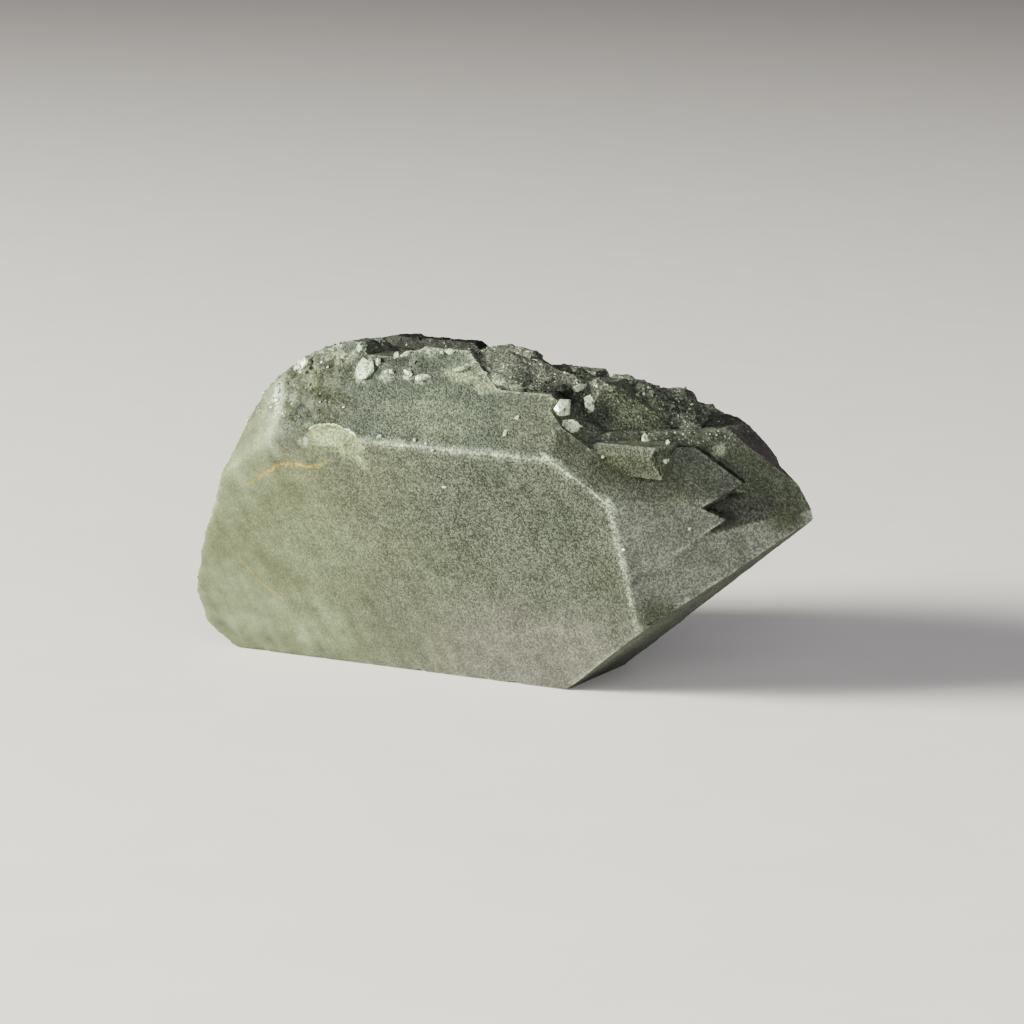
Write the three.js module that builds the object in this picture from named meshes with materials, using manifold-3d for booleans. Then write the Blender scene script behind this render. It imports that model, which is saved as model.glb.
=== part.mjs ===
// A chlorite quartz crystal lying on one of its prism faces.
//
// It is one natural piece: a single quartz crystal with its broken root on the left (-X) and its
// point on the right (+X). Its long axis, the c axis of quartz, lies along X. Its flat faces have the
// twelve directions in which quartz grows: six prism faces parallel to the axis, 60 degrees apart,
// and six faces of the point, one over each prism face. The growth layers, ledges and small crystals
// share those directions, so each is written as the distances of its faces.
//
// Places and distances are millimetres from one corner of the crystal: the front end of the edge
// that it rests along, where the point begins. The whole is moved at the end, so that its origin
// lies on the table, under the middle of its box.

import * as THREE from 'three';
import { ConvexGeometry } from 'three/addons/geometries/ConvexGeometry.js';
import { mergeVertices } from 'three/addons/utils/BufferGeometryUtils.js';
import Module from 'manifold-3d';

const wasm = await Module();
wasm.setup();

// ---- driving dimensions, in millimetres: how far the whole crystal's faces lie from the corner ----

const WHOLE = {
  front: 0,
  brow: 33.5,
  top: 36.45, // the ledge beside the point; the growth blocks rise above it
  backHigh: 34,
  backLow: 16,
  rest: 0,
  pointFront: 7.8,
  pointBrow: 28.9,
  pointTop: 42.2,
  pointBackHigh: 32.1,
  pointBackLow: 12.6,
  pointRest: 0,
};
const LAYER = 1.0; // thickness of the growth layer that covers most of pointBrow
const COVERED_BROW = WHOLE.pointBrow + LAYER; // distance of that layer's own face
const PLATE_TOP = 41.7; // height of the front plate's upper edge
const ROOT_REACH = 60; // how far the blocks run to the left, past where the root is broken off

// ---- the crystal's face directions ----

const PRISM_STEP = 60; // degrees between neighbouring prism faces
const POINT_LEAN = 38.21; // degrees between the axis' cross-section and a face of the point
const FRONT_TURN = -150; // degrees from +Y up to the way that the front face looks

// Turns from the front face, over the top: each prism face has a face of the point over it.
const PRISM_TURNS = { front: 0, brow: 1, top: 2, backHigh: 3, backLow: 4, rest: 5 };
const POINT_TURNS = {
  pointFront: 0, pointBrow: 1, pointTop: 2, pointBackHigh: 3, pointBackLow: 4, pointRest: 5,
};

function prismNormal(turns) {
  const angle = THREE.MathUtils.degToRad(FRONT_TURN - PRISM_STEP * turns);
  return new THREE.Vector3(0, Math.cos(angle), Math.sin(angle));
}

function pointNormal(turns) {
  const lean = THREE.MathUtils.degToRad(POINT_LEAN);
  const axis = new THREE.Vector3(Math.sin(lean), 0, 0);
  return prismNormal(turns).multiplyScalar(Math.cos(lean)).add(axis);
}

const NORMALS = {};
for (const [face, turns] of Object.entries(PRISM_TURNS)) NORMALS[face] = prismNormal(turns);
for (const [face, turns] of Object.entries(POINT_TURNS)) NORMALS[face] = pointNormal(turns);

// ---- solids from planes and corners ----

const vector = (place) => new THREE.Vector3(...place);

function plane(direction, through) {
  const normal = vector(direction).normalize();
  return { normal, distance: normal.dot(vector(through)) };
}

function planesOf(faces) {
  return Object.entries(faces).map(([face, distance]) => ({ normal: NORMALS[face], distance }));
}

function solidOf(geometry) {
  const shape = geometry.clone();
  shape.deleteAttribute('normal');
  shape.deleteAttribute('uv');
  const merged = mergeVertices(shape, 1e-5);
  const count = merged.getAttribute('position').count;
  const index = merged.getIndex() ?? [...Array(count).keys()];
  const mesh = new wasm.Mesh({
    numProp: 3,
    vertProperties: new Float32Array(merged.getAttribute('position').array),
    triVerts: new Uint32Array(index.array ?? index),
  });
  return new wasm.Manifold(mesh);
}

function geometryOf(solid) {
  const mesh = solid.getMesh();
  const geometry = new THREE.BufferGeometry();
  geometry.setAttribute('position', new THREE.BufferAttribute(mesh.vertProperties, 3));
  geometry.setIndex(new THREE.BufferAttribute(mesh.triVerts, 1));
  geometry.computeVertexNormals();
  return geometry;
}

const hullOf = (corners) => solidOf(new ConvexGeometry(corners.map(vector)));

// The point where three planes cross, or null where two of them are parallel.
function crossing(a, b, c) {
  const across = new THREE.Vector3().crossVectors(b.normal, c.normal);
  const volume = a.normal.dot(across);
  if (Math.abs(volume) < 1e-6) return null;
  const sum = across.multiplyScalar(a.distance);
  sum.addScaledVector(new THREE.Vector3().crossVectors(c.normal, a.normal), b.distance);
  sum.addScaledVector(new THREE.Vector3().crossVectors(a.normal, b.normal), c.distance);
  return sum.divideScalar(volume);
}

// The corners of the solid inside every plane of a list.
function cornersWithin(planes) {
  const slack = 1e-6;
  const corners = [];
  const isInside = (p) => planes.every(({ normal, distance }) => normal.dot(p) < distance + slack);
  const isNew = (p) => corners.every((corner) => vector(corner).distanceTo(p) > 1e-4);
  for (let i = 0; i < planes.length; i += 1) {
    for (let j = i + 1; j < planes.length; j += 1) {
      for (let k = j + 1; k < planes.length; k += 1) {
        const p = crossing(planes[i], planes[j], planes[k]);
        if (p && isInside(p) && isNew(p)) corners.push(p.toArray());
      }
    }
  }
  return corners;
}

const solidWithin = (planes) => hullOf(cornersWithin(planes));

// A block of crystal: the whole crystal's faces, some of them moved, and any planes that cut it.
function block(faces = {}, cuts = []) {
  const leftEnd = plane([-1, 0, 0], [-ROOT_REACH, 0, 0]);
  return solidWithin([...planesOf({ ...WHOLE, ...faces }), leftEnd, ...cuts]);
}

const joinAll = (solids) => solids.reduce((sum, solid) => sum.add(solid));
const cutAll = (solid, cutters) => cutters.reduce((rest, cutter) => rest.subtract(cutter), solid);

// ---- chance: the same irregular numbers every time ----

function chanceFrom(seed) {
  let state = seed;
  const next = () => {
    state = (state * 1664525 + 1013904223) % 4294967296;
    return state / 4294967296;
  };
  return (low, high) => low + (high - low) * next();
}

// ---- the crystal's body ----

// The body reaches the point. Behind the ledge its shoulder is a broken slope.
function body() {
  const shoulder = plane([0.557, 0.564, 0.611], [30.2, 2.3, 29.96]);
  return block({}, [shoulder]);
}

// Growth layers that end in arrow heads on the point: their sharp edges follow its other faces.
function arrowLayers() {
  const upper = { pointBrow: COVERED_BROW, top: 34.7, pointTop: 39.4, pointRest: -8.1 };
  const lower = { pointBrow: COVERED_BROW, pointFront: 7.95, top: 34.7, pointTop: 34.83, pointRest: -5.45 };
  return [block(upper), block(lower)];
}

// The front plate: it carries the brow, and behind it the top falls into a trough.
function frontPlate() {
  const outer = { pointBrow: COVERED_BROW, pointTop: 60, top: PLATE_TOP };
  const lip = { ...outer, backHigh: 4.15 };
  const lipEnd = { ...outer, backHigh: 6.0, pointBackHigh: 7.1 };
  return [block(lip), block(lipEnd)];
}

// Thin layers that end in steps on the faces at the back and on the point's underside.
function backLayers() {
  const high = { backHigh: WHOLE.backHigh + 0.7, pointBackHigh: 26.5, top: 33.5, backLow: 13.2 };
  const higher = { backHigh: WHOLE.backHigh + 1.2, pointBackHigh: 17.5, top: 27.8, backLow: 12.1 };
  const low = { backLow: WHOLE.backLow + 0.6, pointBackLow: 6.4, backHigh: 30.6 };
  const lowest = { backLow: WHOLE.backLow + 1.1, pointBackLow: -3.5, backHigh: 26.4 };
  const reach = WHOLE.pointBackHigh + 0.6;
  const point = { pointBackHigh: reach, pointTop: 36.5, backHigh: 31.6, pointBackLow: 9.8 };
  return [block(high), block(higher), block(low), block(lowest), block(point)];
}

// ---- growth on the top ----

// Blocks that stand behind the brow, from the root to the trough, each with its own height.
function rootBlocks() {
  const flat = block({ top: 42.0, pointTop: 27.3, backHigh: 26 });
  const wall = block({ top: 41.0, pointTop: 34.6, backHigh: 21.5 });
  const rimLeft = block({ top: 45.0, pointTop: 20.2, backHigh: 17 });
  const rimLow = block({ top: 43.75, pointTop: 26, backHigh: 14 });
  const dip = plane([-0.38, 0, 0.925], [-18.4, -13, 43.75]);
  const rimMiddle = block({ top: 44.9, pointTop: 26, backHigh: 14.5 }, [dip]);
  const step = plane([-0.6, 0, 0.8], [-15.5, -13, 44.9]);
  const rimRight = block({ top: 45.2, pointTop: 30, backHigh: 13.6 }, [step]);
  return [flat, wall, rimLeft, rimLow, rimMiddle, rimRight];
}

// Two long crystals that lie behind the rim, the nearer one a little lower.
function backRidges() {
  const ridge = block({ top: 44.0, brow: 19.6, pointTop: 24.8, backHigh: 26.3 });
  const step = block({ top: 39.8, brow: 14, pointTop: 33.0, backHigh: 27.5 });
  return [ridge, step];
}

// The rough lump that leans on the flat, right of the rim.
function ridgeLump() {
  return hullOf([
    [-8.3, -14.3, 42.0], [-0.2, -14.5, 41.4], [4.5, -12.6, 41.2], [-9.2, -9.6, 45.4],
    [-7.8, -10.0, 45.9], [-4.8, -9.0, 46.0], [-4.0, -9.0, 45.5], [-2.3, -9.0, 44.2],
    [1.3, -9.4, 43.3], [5.6, -9.6, 42.2], [-9.5, -2.0, 43.2], [3.0, -3.0, 41.4],
    [-9.0, -8.0, 38.0], [6.0, -8.0, 38.0], [-1.0, -13.0, 38.0],
  ]);
}

// The slanting face at the back of the trough, and the flat crest over it.
function troughBlock() {
  return block({ pointBrow: 27.3, top: 42.1, pointTop: 38.6, brow: 28.6, backHigh: 19 });
}

// The dark sparkling lump between the trough and the ledge.
function sparkLump() {
  return hullOf([
    [14.3, -7.2, 34.9], [16.8, -5.2, 35.2], [18.9, -2.4, 36.4], [9.5, -5.2, 41.1], [12.3, -3.2, 40.8],
    [14.2, -1.4, 39.9], [15.4, 2.8, 40.0], [18.2, 0.8, 37.4], [7.2, 2.0, 41.3], [10.4, 2.0, 40.9],
    [12.9, 3.4, 39.8], [9.0, -7.6, 38.2], [6.0, 8.0, 39.0], [16.0, 6.0, 36.0], [9.0, -2.0, 33.0],
  ]);
}

// A short prism, broken across, that lies in the foot of the trough and hangs over its lip.
function brokenPrism() {
  const ridge = [17.46, -14.8, 34.19];
  const front = plane(NORMALS.front.toArray(), ridge);
  const brow = plane(NORMALS.brow.toArray(), ridge);
  const top = plane([0, 0, 1], [0, 0, 35.45]);
  const under = plane([0, 0, -1], [0, 0, 31.4]);
  const back = plane([0, 1, 0], [0, -8.6, 0]);
  const left = plane([-1, 0, 0], [7, 0, 0]);
  const brokenEnd = plane([0.863, -0.503, 0.05], ridge);
  const splinter = plane([0.98, 0.12, -0.14], [18.75, -12.75, 34.0]);
  return solidWithin([front, brow, top, under, back, left, brokenEnd, splinter]);
}

// ---- small crystals, flakes, nicks and scars ----

// The corners of a small crystal of width about 2, its point along +X.
function seedCorners() {
  const faces = Object.values(NORMALS).map((normal) => ({ normal, distance: normal.x > 0.1 ? 1.45 : 1 }));
  return cornersWithin([...faces, plane([-1, 0, 0], [-3, 0, 0])]);
}

const SEED = seedCorners();

// Moves corners that are drawn about the origin: turned, then stretched, then put in place.
function placed(corners, { at, size = 1, stretch = [1, 1, 1], turn = [0, 0, 0] }) {
  const angles = turn.map((degrees) => THREE.MathUtils.degToRad(degrees));
  const rotation = new THREE.Euler(...angles);
  const move = (corner) => {
    const shaped = vector(corner).multiply(vector(stretch)).multiplyScalar(size);
    return shaped.applyEuler(rotation).add(vector(at)).toArray();
  };
  return corners.map(move);
}

const smallCrystal = (place) => hullOf(placed(SEED, place));

// Small prisms that lie along the back of the top. The last of them is broken off blunt.
function backCrystals() {
  const blunt = cornersWithin([
    ...Object.keys(PRISM_TURNS).map((face) => ({ normal: NORMALS[face], distance: 1 })),
    plane([1, -0.2, 0.1], [1, 0, 0]), plane([-1, 0, 0], [-3, 0, 0]),
  ]);
  return [
    hullOf(placed(blunt, { at: [-1.2, 7.6, 39.6], size: 1.5, turn: [6, 2, -4] })),
    smallCrystal({ at: [-8.4, 4.8, 41.4], size: 1.2, turn: [0, 3, 5] }),
    smallCrystal({ at: [-27.0, 6.0, 42.4], size: 1.5, turn: [8, 2, 3] }),
  ];
}

// The height of a solid's top at a place, or null where there is none.
function heightFinder(solid) {
  const mesh = new THREE.Mesh(geometryOf(solid), new THREE.MeshBasicMaterial({ side: THREE.DoubleSide }));
  const caster = new THREE.Raycaster();
  return (x, y) => {
    caster.set(new THREE.Vector3(x, y, 100), new THREE.Vector3(0, 0, -1));
    const hits = caster.intersectObject(mesh);
    return hits.length ? hits[0].point.z : null;
  };
}

// An uneven lump of broken stone, about 2 wide.
function crumbCorners(chance) {
  const corner = () => new THREE.Vector3(chance(-1, 1), chance(-1, 1), chance(-1, 1));
  return [...Array(12)].map(() => corner().normalize().toArray());
}

// Small crystals and crumbs crowd the rough parts of the top.
// The crystals lie nearly parallel to the whole.
const CROWDS = [
  { x: [-34, -9], y: [-9, 5], size: [0.6, 1.2], crystals: 18, crumbs: 22, sink: 0.55, stray: 7 },
  { x: [-34, -13], y: [-13.9, -12.4], size: [0.35, 0.7], crystals: 3, crumbs: 22, sink: 0.6, stray: 12 },
  { x: [-10, 5], y: [-14, -3], size: [0.45, 1.0], crystals: 8, crumbs: 34, sink: 0.65, stray: 14 },
  { x: [3, 9], y: [-8, 4], size: [0.4, 0.8], crystals: 4, crumbs: 12, sink: 0.65, stray: 8 },
  { x: [8, 17.5], y: [-6, 4], size: [0.4, 0.8], crystals: 8, crumbs: 26, sink: 0.65, stray: 16 },
  { x: [-30, 8], y: [7, 19], size: [0.6, 1.4], crystals: 14, crumbs: 12, sink: 0.6, stray: 7 },
];

function crowdOn(heightAt, { x, y, size, crystals, crumbs, sink, stray }, seed) {
  const chance = chanceFrom(seed);
  const crowd = [];
  for (let i = 0; i < crystals + crumbs; i += 1) {
    const across = [chance(...x), chance(...y)];
    const grown = chance(...size);
    const turn = [chance(-3 * stray, 3 * stray), chance(-stray, stray), chance(-stray, stray)];
    const grownStretch = () => [chance(0.5, 1.1), 1, 1];
    const crumbStretch = () => [chance(0.9, 2.0), chance(0.7, 1.3), chance(0.5, 0.9)];
    const stretch = i < crystals ? grownStretch() : crumbStretch();
    const corners = i < crystals ? SEED : crumbCorners(chance);
    const height = heightAt(...across);
    if (height === null) continue;
    const at = [...across, height - grown * sink];
    crowd.push(hullOf(placed(corners, { at, size: grown, stretch, turn })));
  }
  return crowd;
}

// An uneven hexagonal flake lying in the XY plane before it is turned.
const FLAKE = [
  [-1, -0.1, -0.5], [-0.55, -0.62, -0.5], [0.6, -0.5, -0.5],
  [1, 0.05, -0.5], [0.4, 0.6, -0.5], [-0.7, 0.5, -0.5],
  [-0.8, 0, 0.5], [-0.45, -0.45, 0.5], [0.5, -0.36, 0.5],
  [0.8, 0.1, 0.5], [0.3, 0.44, 0.5], [-0.55, 0.36, 0.5],
];

const flake = (at, length, width, thick, turn) => {
  const stretch = [length / 2, width / 1.1, thick];
  return hullOf(placed(FLAKE, { at, stretch, turn }));
};

// Loose flakes that grew fast to the trough's walls, and white ones along the brow.
function flakes() {
  const ontoPoint = [52, 18, -48];
  const ontoBrow = [60, 0, 0];
  return [
    flake([4.3, -13.4, 39.2], 2.5, 1.4, 0.9, [52, 18, -25]),
    flake([5.9, -13.2, 37.1], 2.5, 1.3, 0.8, [52, 18, -20]),
    flake([7.0, -11.0, 39.3], 2.1, 1.0, 0.8, [40, 20, -80]),
    flake([12.2, -8.1, 36.4], 1.0, 0.9, 0.9, ontoPoint),
    flake([-22.7, -14.7, 41.7], 2.9, 2.4, 0.5, [60, 0, 35]),
    flake([-31.2, -14.7, 41.5], 2.0, 1.9, 0.5, [62, -8, 50]),
    flake([-19.4, -14.8, 41.3], 1.6, 0.9, 0.5, ontoBrow),
    flake([-16.4, -14.6, 41.6], 1.4, 0.8, 0.5, ontoBrow),
    flake([-14.0, -14.7, 41.5], 1.7, 0.7, 0.4, [60, 0, 20]),
    flake([8.4, -8.9, 41.9], 3.6, 1.3, 0.7, [50, 12, -14]),
  ];
}

// A round scar, as glassy stone breaks: a shallow bowl.
function scar(at, radii, turn = [0, 0, 0]) {
  const bowl = new THREE.IcosahedronGeometry(1, 3);
  bowl.scale(...radii);
  const angles = turn.map((degrees) => THREE.MathUtils.degToRad(degrees));
  bowl.rotateX(angles[0]);
  bowl.rotateY(angles[1]);
  bowl.rotateZ(angles[2]);
  bowl.translate(...at);
  return solidOf(bowl);
}

// Scars on the edge under the brow, and a small one in the brow with a raised rim.
function browScars() {
  return [
    scar([-26.4, -21.3, 33.9], [6.6, 3.1, 3.9]),
    scar([-22.4, -20.5, 31.4], [2.6, 2.2, 3.6], [0, 25, 0]),
    scar([-0.9, -18.2, 37.0], [0.75, 0.9, 0.75]),
  ];
}

// Scars on the broken root: wide shallow bowls, one beside the other, where glassy stone flaked off.
function rootScars() {
  return [
    scar([-52.0, 6, 10], [2.0, 8.5, 7.5], [0, 4, 8]),
    scar([-48.0, 13, 21], [2.4, 9.5, 9], [0, 25, 0]),
    scar([-43.8, -1, 28], [1.8, 7.5, 8], [0, 30, 0]),
    scar([-48.0, 22, 8], [2.8, 7, 8], [0, -5, -10]),
    scar([-37.8, 8, 37], [2.0, 9, 6], [0, 42, 0]),
    scar([-42.6, 24, 27], [3.0, 7, 9], [0, 28, -18]),
  ];
}

// Nicks along the long edges: an uneven lump of stone broken out of each.
const EDGES = [
  { from: [-48, 0, 0], to: [-2, 0, 0], count: 6, size: [0.35, 0.8] },
  { from: [-20, -19.3, 33.5], to: [5, -19.3, 33.5], count: 3, size: [0.3, 0.45] },
  { from: [-38, 18.5, 0], to: [-4, 18.5, 0], count: 5, size: [0.8, 1.6] },
  { from: [-38, 28.9, 18], to: [4, 28.9, 18], count: 6, size: [0.8, 1.8] },
  { from: [-4, 18.5, 41], to: [20, 11, 36.4], count: 4, size: [0.7, 1.4] },
  { from: [13.2, -5.8, 10.6], to: [30, 1.2, 23.8], count: 5, size: [0.3, 0.6] },
];

function nicksAlong({ from, to, count, size }, seed) {
  const chance = chanceFrom(seed);
  const nicks = [];
  for (let i = 0; i < count; i += 1) {
    const at = vector(from).lerp(vector(to), (i + chance(0.1, 0.9)) / count).toArray();
    const reach = chance(...size);
    nicks.push(hullOf(placed(crumbCorners(chance), { at, size: reach, stretch: [1.5, 1, 1] })));
  }
  return nicks;
}

// ---- the broken root and the worn edges ----

// The root's outline as it shows from the front, from the table up to the rim.
const ROOT_FRONT = [
  [-49.3, 0, 0], [-52.6, -1.5, 2.6], [-53.4, -3.4, 6.4], [-53.2, -4.8, 8.4], [-51.0, -7.6, 13.2],
  [-47.0, -11.3, 19.6], [-43.1, -14.9, 25.7], [-41.6, -13.6, 30.3], [-39.4, -13.2, 35.0],
  [-36.7, -13.3, 38.9], [-34.0, -14.4, 41.0], [-31.3, -13.8, 43.0],
  [-29.0, -13.3, 44.1], [-25.7, -12.6, 45.2],
];
// The same outline where the break comes out at the back, from the table up.
const ROOT_BACK = [
  [-43, 26, -1], [-46.5, 26, 4], [-48, 27, 12], [-46, 30, 20],
  [-42, 28, 29], [-36, 22, 38], [-31, 16, 42.5],
];

// Everything that is left of the crystal lies inside this shape.
function rootBreak() {
  const forward = [0.12, -1, 0];
  const moved = (corner) => vector(corner).addScaledVector(vector(forward), 12).toArray();
  const overFront = ROOT_FRONT.map(moved);
  const farEnd = [];
  for (const y of [-45, 60]) for (const z of [-12, 60]) farEnd.push([70, y, z]);
  return hullOf([...overFront, ...ROOT_FRONT, ...ROOT_BACK, ...farEnd]);
}

// How deep the front's edges are worn down, and the distances of the two faces that meet in each.
const WEAR = [
  { faces: { front: WHOLE.front, brow: WHOLE.brow }, depth: 0.3 },
  { faces: { front: WHOLE.front, pointBrow: COVERED_BROW }, depth: 0.28 },
  { faces: { front: WHOLE.front, pointFront: WHOLE.pointFront }, depth: 0.1 },
  { faces: { brow: WHOLE.brow, pointBrow: COVERED_BROW }, depth: 0.08 },
  { faces: { pointFront: WHOLE.pointFront, pointBrow: COVERED_BROW }, depth: 0.06 },
];

// The plane that takes the sharpness off the edge between two faces.
function wornPlane({ faces, depth }) {
  const [[a, distanceA], [b, distanceB]] = Object.entries(faces);
  const normal = NORMALS[a].clone().add(NORMALS[b]);
  const edgeDistance = (distanceA + distanceB) / normal.length();
  return { normal: normal.normalize(), distance: edgeDistance - depth };
}

// The inside of the worn edges, and of the break that slants across the brow's left end.
function wornShape() {
  const far = 90;
  const brokenBrow = plane([-0.5, -0.8, 0.311], [-31.82, -19.8, 32.71]);
  const box = [
    plane([1, 0, 0], [far, 0, 0]), plane([-1, 0, 0], [-far, 0, 0]),
    plane([0, 1, 0], [0, far, 0]), plane([0, 0, 1], [0, 0, far]), plane([0, 0, -1], [0, 0, -1]),
  ];
  return solidWithin([...WEAR.map(wornPlane), brokenBrow, ...box]);
}

// ---- the part ----

function crystalSolid() {
  const grown = joinAll([
    body(), ...arrowLayers(), ...frontPlate(), ...backLayers(), ...rootBlocks(), ...backRidges(),
    ridgeLump(), troughBlock(), sparkLump(), ...backCrystals(),
  ]);
  const heightAt = heightFinder(grown);
  const crowds = CROWDS.flatMap((crowd, i) => crowdOn(heightAt, crowd, 101 + i));
  const nicks = EDGES.flatMap((edge, i) => nicksAlong(edge, 201 + i));
  const worn = joinAll([grown, ...crowds, ...flakes()]).intersect(wornShape());
  const whole = worn.add(brokenPrism()).intersect(rootBreak());
  return cutAll(whole, [...browScars(), ...rootScars(), ...nicks]);
}

const chloriteQuartz = new THREE.MeshStandardMaterial({ color: 0x8b8f7a, roughness: 0.62, metalness: 0 });

const crystal = new THREE.Mesh(geometryOf(crystalSolid()), chloriteQuartz);
crystal.name = 'chlorite_quartz_crystal';
crystal.geometry.computeBoundingBox();
const { min, max } = crystal.geometry.boundingBox;
crystal.position.set(-(min.x + max.x) / 2, -(min.y + max.y) / 2, -min.z);

const part = new THREE.Group();
part.add(crystal);

export default part;
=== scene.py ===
"""Dresses a chlorite quartz crystal: its grown faces, its broken root and top, and a studio to show it in.

The crystal lies on one prism face. Its long axis, the c axis of quartz, runs along X, and its point is at +X.
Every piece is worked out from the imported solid, so its size and place are never changed here.
Patterns are placed in millimetres from the crystal's corner, the front end of its resting edge.
"""

import math

import bmesh
import bpy
import numpy as np
from bpy.props import FloatProperty, FloatVectorProperty, PointerProperty
from mathutils import Euler, Matrix, Vector


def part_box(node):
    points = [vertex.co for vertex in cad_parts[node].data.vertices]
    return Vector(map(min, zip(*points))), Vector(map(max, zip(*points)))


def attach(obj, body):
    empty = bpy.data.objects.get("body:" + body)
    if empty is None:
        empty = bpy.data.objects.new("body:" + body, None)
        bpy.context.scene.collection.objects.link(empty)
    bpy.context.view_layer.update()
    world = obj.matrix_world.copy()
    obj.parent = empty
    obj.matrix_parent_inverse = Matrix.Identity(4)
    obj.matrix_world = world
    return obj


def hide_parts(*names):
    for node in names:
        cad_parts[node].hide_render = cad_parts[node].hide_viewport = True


bl_info = {
    "name": "Chlorite Quartz Crystal",
    "version": (1, 0, 0),
    "blender": (4, 5, 0),
    "location": "3D View > Sidebar > Crystal",
    "description": "Dresses a chlorite quartz crystal and sets it in a plain studio",
    "category": "Object",
}

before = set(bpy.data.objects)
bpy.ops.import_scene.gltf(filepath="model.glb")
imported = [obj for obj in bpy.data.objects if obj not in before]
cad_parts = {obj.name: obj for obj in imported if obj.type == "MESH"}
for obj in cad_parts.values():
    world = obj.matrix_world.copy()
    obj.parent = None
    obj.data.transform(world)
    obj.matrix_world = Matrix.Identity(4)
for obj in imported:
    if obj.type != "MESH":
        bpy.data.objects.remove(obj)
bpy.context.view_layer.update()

NODE = "chlorite_quartz_crystal"
MM = 0.001
POINT_REACH = 32.25 * MM  # the tip of the point, along X from the crystal's corner
BROW_REACH = 19.04 * MM  # how far the worn brow stands in front of the corner
LOW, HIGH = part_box(NODE)
CORNER = Vector((HIGH.x - POINT_REACH, LOW.y + BROW_REACH, LOW.z))
BROW_DISTANCE = 33.5  # millimetres from the corner to the brow's face
COVERED_POINT = 29.9  # millimetres to the growth layer over the point's upper front face
FRONT_POINT = 7.8  # millimetres to the point's lower front face

PRISM_STEP = math.radians(60)
POINT_LEAN = math.radians(38.21)
FRONT_TURN = math.radians(-150)


def linear(hex_colour):
    """An sRGB hex colour as linear red, green and blue."""
    values = [int(hex_colour[i : i + 2], 16) / 255 for i in (0, 2, 4)]
    return tuple(v / 12.92 if v <= 0.04045 else ((v + 0.055) / 1.055) ** 2.4 for v in values)


def colour_property(name, description, hex_colour):
    """A colour that a user can change, with its default as an sRGB hex value."""
    return FloatVectorProperty(
        name=name, description=description, subtype="COLOR", size=3, min=0, max=1, default=linear(hex_colour)
    )


class CrystalColours(bpy.types.PropertyGroup):
    """The colours of the stone."""

    sage: colour_property("Sage", "Pale green quartz near the root", "4C533A")
    grey: colour_property("Grey", "Grey-green quartz in the middle", "41463A")
    ash: colour_property("Ash", "Grey quartz of the point's lower face", "63675D")
    blush: colour_property("Blush", "Pinkish grey along the resting edge", "58574E")
    olive: colour_property("Olive", "Olive quartz clouded with chlorite", "323728")
    slate: colour_property("Slate", "Dark grey-green quartz of the upper faces", "2C3529")
    # Umber is painted shade and a painted purple-brown reflection on the face at the top of the point.
    umber_reflection: colour_property("Umber", "Brownish shade on the face at the top of the point", "433C3A")
    # Some veils are painted light: floor bounce low on the left of the front, and the soft light next to the
    # bright bevel.
    veil_and_light: colour_property("Veil", "Pale veils inside the stone", "626C50")
    straw: colour_property("Straw", "Yellowish clear quartz where a scar was struck", "6C7850")
    # Chlorite is dust, and it is also painted shade: in the hollows, as the painted shadow in the gully
    # beside the arrow heads, and on the shaded back ridge and trough of the top.
    chlorite_and_shade: colour_property("Chlorite", "Dark green dust in hollows", "141711")
    # Frost is also painted glint: pale grains of the rough top, the small crystals' bright ones, and partly
    # the bright rim of the scar.
    frost_and_glint: colour_property("Frost", "Bruised white quartz on worn edges and chips", "A3B494")
    # The chips' pale crack lines are partly cracks and partly painted glints, their bright spots.
    glint: colour_property("Glint", "Pale cracks in a chip", "B9C5AA")
    rust: colour_property("Rust", "Iron stain in the healed cracks", "75682A")


class CrystalSizes(bpy.types.PropertyGroup):
    """The sizes of the stone's surface."""

    grain: FloatProperty(
        name="Grain", description="Width of one sugary grain", default=0.19 * MM, unit="LENGTH", precision=5
    )
    cell: FloatProperty(
        name="Mesh cell",
        description="Width of the faces that the relief is carved in",
        default=0.3 * MM,
        unit="LENGTH",
        precision=5,
    )
    break_relief: FloatProperty(
        name="Break relief",
        description="Height of the roughness on broken stone",
        default=0.45 * MM,
        unit="LENGTH",
        precision=5,
    )


class StudioSettings(bpy.types.PropertyGroup):
    """The floor, lights and camera."""

    floor: colour_property("Floor", "Colour of the plain floor", "E6E4DC")
    key_power: FloatProperty(
        name="Key light", description="Power of the large soft light at the left", default=124, unit="POWER"
    )
    fill_power: FloatProperty(
        name="Fill light", description="Power of the light in front", default=14, unit="POWER"
    )
    back_power: FloatProperty(
        name="Back light", description="Power of the light behind", default=1, unit="POWER"
    )
    lens: FloatProperty(
        name="Lens", description="Focal length on a 36 mm sensor", default=140.6, unit="CAMERA"
    )


# ---- small helpers ----


def only(piece):
    """Makes one object the selected and active one."""
    bpy.ops.object.select_all(action="DESELECT")
    piece.select_set(True)
    bpy.context.view_layer.objects.active = piece


def add_node(tree, kind, inputs=None, output=0, **settings):
    """Adds a shader node and gives one of its outputs. Inputs are values, or the sockets that feed them."""
    node = tree.nodes.new("ShaderNode" + kind)
    for name, value in settings.items():
        setattr(node, name, value)
    for key, value in (inputs or {}).items():
        if isinstance(value, bpy.types.NodeSocket):
            tree.links.new(value, node.inputs[key])
        else:
            node.inputs[key].default_value = value
    return node.outputs[output]


def new_material(name, finish):
    """A material with its output and its Principled shader, which has the values of a finish."""
    material = bpy.data.materials.new(name)
    material.use_nodes = True
    tree = material.node_tree
    tree.nodes.clear()
    surface = add_node(tree, "BsdfPrincipled", finish)
    output = tree.nodes.new("ShaderNodeOutputMaterial")
    tree.links.new(surface, output.inputs["Surface"])
    return material, tree, surface.node


# ---- the crystal's face directions ----


def prism_normal(turns):
    """The way a prism face looks, counted over the top from the front face."""
    angle = FRONT_TURN - PRISM_STEP * turns
    return Vector((0, math.cos(angle), math.sin(angle)))


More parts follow.
